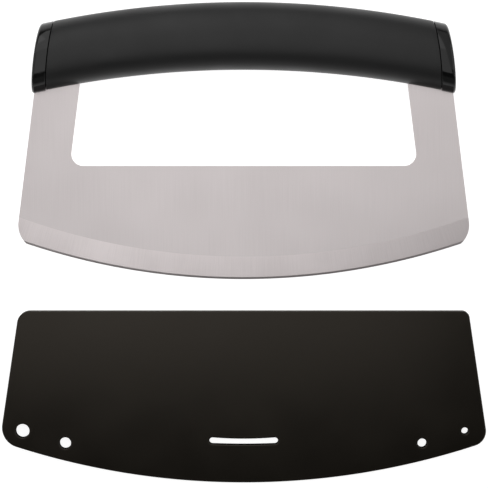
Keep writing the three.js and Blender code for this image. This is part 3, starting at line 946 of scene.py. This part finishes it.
def coverHalf(name, side):
    bm = bmesh.new()
    leftSweep, leftArcs = coverEnd("left")
    rightSweep, rightArcs = coverEnd("right")
    leftArcs = turnedOver(leftArcs)
    sweep = math.asin(pocketSide / pocketRadius)
    floorArc = (pocketCentre, pocketRadius, -quarter - sweep, -quarter + sweep)
    floorBack = (pocketCentre, pocketRadius, -quarter + sweep, -quarter - sweep)
    shoulders = [((pocketSide, wallTop), 0, 0, 0), ((-pocketSide, wallTop), 0, 0, 0)]
    bottomCentre = (0, cover["bottomRadius"])
    bottomArc = (bottomCentre, cover["bottomRadius"], -quarter - leftSweep, -quarter + rightSweep)
    wallRegion, webRegion, ribRegion = 0, 1, 2
    level = cover["pocketHalf"]

    web = [[bottomArc, *rightArcs[:2], shoulders[0], floorBack, shoulders[1], *leftArcs[1:]], slotArcs()]
    rowRadius = cover["bottomRadius"] - cover["holeInset"]
    outer = coverSideAt(0) - cover["holeCorner"]
    inner = outer - cover["holeSpacing"]
    openings = [(Vector((0, cover["slotInset"])), cover["slotLength"] / 2 + cover["edgeRound"])]
    for x, size in zip((-outer, -inner, inner, outer), cover["holeSizes"]):
        y = cover["bottomRadius"] - math.sqrt(rowRadius ** 2 - x ** 2)
        openings.append((Vector((x, y)), size / 2 + cover["edgeRound"]))
        web.append([((x, y), size / 2, turn * quarter, (turn + 1) * quarter) for turn in range(4)])
    drawRegion(bm, web, webRegion, level)

    foot = cover["seat"] + blade["grindHeight"] + cover["ribMargin"]
    head = cover["height"] - cover["ribMargin"]
    ribs = []
    for place in (-1, 0, 1):
        low = place * cover["ribSpacing"] - cover["ribWidth"] / 2
        high = low + cover["ribWidth"]
        ribs.append(cornerArcs([(low, foot), (high, foot), (high, head), (low, head)]))
        drawRegion(bm, ribs[-1:], ribRegion, level)
    wall = [rightArcs[1], rightArcs[2], leftArcs[0], leftArcs[1], shoulders[1], floorArc, shoulders[0]]
    drawRegion(bm, [wall] + ribs, wallRegion, level)
    bmesh.ops.remove_doubles(bm, verts=bm.verts, dist=drawing["weld"])

    # The mouth's last stretch flares open
    flare = cover["height"] - cover["flareDepth"]
    everything = list(bm.verts) + list(bm.edges) + list(bm.faces)
    bmesh.ops.bisect_plane(bm, geom=everything, plane_co=(0, flare, 0), plane_no=(0, 1, 0))
    for vert in bm.verts:
        vert.co.z += max(0, vert.co.y - flare) / cover["flareDepth"] * cover["flareWidth"]

    drawOut(bm, webRegion, cover["partingHalf"])
    drawOut(bm, ribRegion, cover["ribHalf"])
    rims = [edge for edge in bm.edges if edge.is_boundary]
    rim = roundedRim(cover["thickness"] / 2, cover["edgeRound"], cover["edgeSteps"])
    fillFlat(bm, raiseWalls(bm, rims, rim))
    bm.normal_update()
    # Faces of the hole walls take the second finish, which paints them in shade
    for face in bm.faces:
        spot = face.calc_center_median().to_2d()
        inHole = any((spot - middle).length < room for middle, room in openings)
        face.material_index = 1 if inHole and abs(face.normal.z) < drawing["wallNormal"] else 0
    bmesh.ops.scale(bm, vec=(1, 1, side), verts=bm.verts)
    return makeObject(name, bm)


coverFinishes = (satinPolypropylene(), holeWallPaintedShade())
for hand, side in (("front", 1), ("back", -1)):
    half = coverHalf("cover_half_" + hand, side)
    standIn(half, laidCover, "cover_" + hand, "cover", "cover_plastic", *coverFinishes)
    print("cover", hand + ":", len(half.data.polygons), "faces")


# The core and the pins, inside the handle, keep their CAD shape

coreMaterial = filledNylon()
pinMaterial = groundSteel()
for name, node in frame["nodes"].items():
    if name.startswith("handle_core"):
        node.material_slots[0].material = coreMaterial
    if name.startswith("tang_pin"):
        node.material_slots[0].material = pinMaterial


# Table, light and camera

table = {
    "size": 8,               # m
    "cells": 4,
    "drop": 0.0001,          # m, under the lowest point of the object
    "colour": "#e6e6e6",
    "glow": 0.92,            # white that the camera and reflections see, beside the lit share
    "lit": "#a8a8a8",
}


def paleTable():
    material, tree = startMaterial("pale_table")
    path = addNode(tree, "LightPath", {}, {})
    mirrors = addNode(tree, "Math", {"operation": "MAXIMUM"}, {
        0: path.outputs["Is Glossy Ray"], 1: path.outputs["Is Transmission Ray"]})
    seen = addNode(tree, "Math", {"operation": "MAXIMUM"}, {
        0: path.outputs["Is Camera Ray"], 1: mirrors.outputs[0]})
    plain = addNode(tree, "BsdfDiffuse", {}, {"Color": toLinear(table["colour"])})
    shaded = addNode(tree, "BsdfDiffuse", {}, {"Color": toLinear(table["lit"])})
    glow = addNode(tree, "Emission", {}, {"Strength": table["glow"]})
    white = addNode(tree, "AddShader", {}, {0: shaded.outputs[0], 1: glow.outputs[0]})
    finishMaterial(tree, addNode(tree, "MixShader", {}, {
        0: seen.outputs[0], 1: plain.outputs[0], 2: white.outputs[0]}))
    return material


bm = bmesh.new()
bmesh.ops.create_grid(bm, x_segments=table["cells"], y_segments=table["cells"], size=table["size"] / 2)
bmesh.ops.translate(bm, vec=(0, 0, cadBox[0].z - table["drop"]), verts=bm.verts)
tableTop = makeObject("table", bm)
tableTop.data.materials.append(paleTable())

# Each lamp is a softbox: where it hangs, what it points at, its size in metres and its radiance
energyOfRadiance = 4         # W for a square metre
lamps = {
    "overheadLeft": {
        "place": (-0.09, 0.0105, 0.28), "aim": (-0.09, 0.0105, 0),
        "size": (0.16, 0.217), "radiance": 0.9},
    "overheadRight": {
        "place": (0.0475, 0.0105, 0.28), "aim": (0.0475, 0.0105, 0),
        "size": (0.115, 0.217), "radiance": 0.76},
    "overheadBack": {
        "place": (-0.0675, 0.4825, 0.28), "aim": (-0.0675, 0.4825, 0),
        "size": (0.345, 0.727), "radiance": 1.1},
    "overheadFar": {
        "place": (0.242, 0.408, 0.28), "aim": (0.242, 0.408, 0),
        "size": (0.274, 0.876), "radiance": 0.45},
    "key": {
        "place": (-0.45, 0.6, 0.7), "aim": (0, 0.03, 0),
        "size": (0.5, 0.4), "radiance": 0.45},
    "left": {
        "place": (-0.52, 0.03, 0.42), "aim": (0, 0.03, 0.05),
        "size": (0.7, 0.42), "radiance": 0.84},
    "right": {
        "place": (0.52, 0.03, 0.42), "aim": (0, 0.03, 0.05),
        "size": (0.7, 0.42), "radiance": 0.76},
    "front": {
        "place": (0, -0.75, 0.4), "aim": (0, 0, 0.1),
        "size": (1.6, 0.5), "radiance": 0.12},
}
for name, lamp in lamps.items():
    light = bpy.data.lights.new(name, "AREA")
    light.shape = "RECTANGLE"
    light.size, light.size_y = lamp["size"]
    light.energy = energyOfRadiance * lamp["radiance"] * light.size * light.size_y
    softbox = bpy.data.objects.new(name, light)
    softbox.location = lamp["place"]
    aimed = Vector(lamp["aim"]) - Vector(lamp["place"])
    softbox.rotation_euler = aimed.to_track_quat("-Z", "Y").to_euler()
    softbox.visible_camera = False
    scene.collection.objects.link(softbox)

# White walls all round and a dim ceiling
room = {
    "wall": 1.0,
    "ceiling": 0.03,
    "wallTop": 0.06,         # sine of the height at which the wall starts to fade
    "ceilingStart": 0.3,
}
world = bpy.data.worlds.new("studio")
world.use_nodes = True
world.node_tree.nodes.clear()
facing = addNode(world.node_tree, "TexCoord", {}, {})
upward = addNode(world.node_tree, "SeparateXYZ", {}, {"Vector": facing.outputs["Generated"]})
fade = addNode(world.node_tree, "MapRange", {"interpolation_type": "SMOOTHSTEP"}, {
    "Value": upward.outputs["Z"], "From Min": room["wallTop"], "From Max": room["ceilingStart"],
    "To Min": room["wall"], "To Max": room["ceiling"]})
air = addNode(world.node_tree, "Background", {}, {"Strength": fade.outputs["Result"]})
addNode(world.node_tree, "OutputWorld", {}, {"Surface": air.outputs[0]})
scene.world = world

view = {
    "height": 1.3,           # m, over the table
    "across": 0.0,
    "up": -0.0004,
    "pixels": 488,           # the picture's width
    "pixel": 0.4424e-3,      # m, what a pixel covers on the table
    "sensor": 36,            # mm
    "far": 20,               # m
}
camera = bpy.data.cameras.new("camera")
camera.sensor_width = view["sensor"]
camera.lens = camera.sensor_width * view["height"] / (view["pixels"] * view["pixel"])
camera.clip_end = view["far"]
eye = bpy.data.objects.new("camera", camera)
eye.location = (view["across"], view["up"], view["height"])
scene.collection.objects.link(eye)
scene.camera = eye
scene.view_settings.view_transform = "Standard"
print("table, lamps and camera set")
